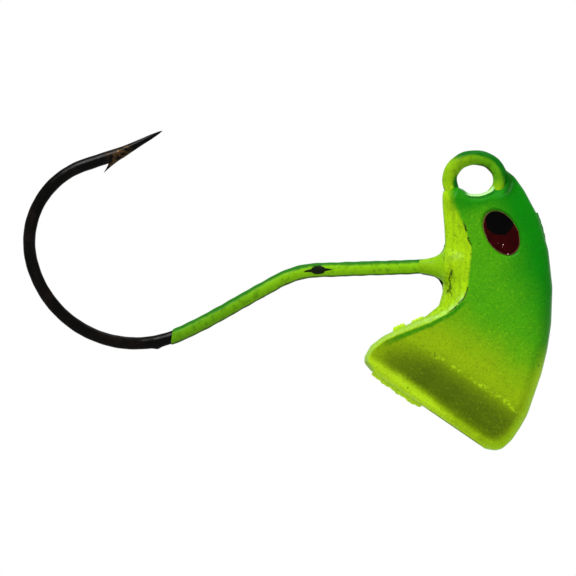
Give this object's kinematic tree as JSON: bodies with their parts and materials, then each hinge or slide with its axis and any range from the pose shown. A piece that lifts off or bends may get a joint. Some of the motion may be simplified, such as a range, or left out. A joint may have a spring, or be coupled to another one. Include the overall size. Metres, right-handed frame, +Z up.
{
  "type": "jig head",
  "caption": "Painted lead wedge-shaped fishing jig head cast on a bent wire hook with a ring eye, a kinked shank, a barb and two inset eyes.",
  "frame": {"origin": "centre of the line-tie ring", "axes": "+X towards the front of the head, away from the hook; +Z up out of the ring, square to the shank; +Y to the left side of the head"},
  "size_m": [0.0423, 0.0052, 0.0257],
  "materials": {
    "hook_wire": "satin",
    "lead": "matte",
    "head_paint": "gloss",
    "ring_paint": "gloss",
    "shank_paint": "gloss",
    "eye_red": "gloss",
    "eye_black": "gloss"
  },
  "bodies": {
    "root": {"hook": "hook_wire", "lead_head": "lead", "head_paint": "head_paint", "ring_paint": "ring_paint", "shank_paint": "shank_paint", "left_eye_iris": "eye_red", "left_eye_pupil": "eye_black", "right_eye_iris": "eye_red", "right_eye_pupil": "eye_black"}
  },
  "joints": []
}
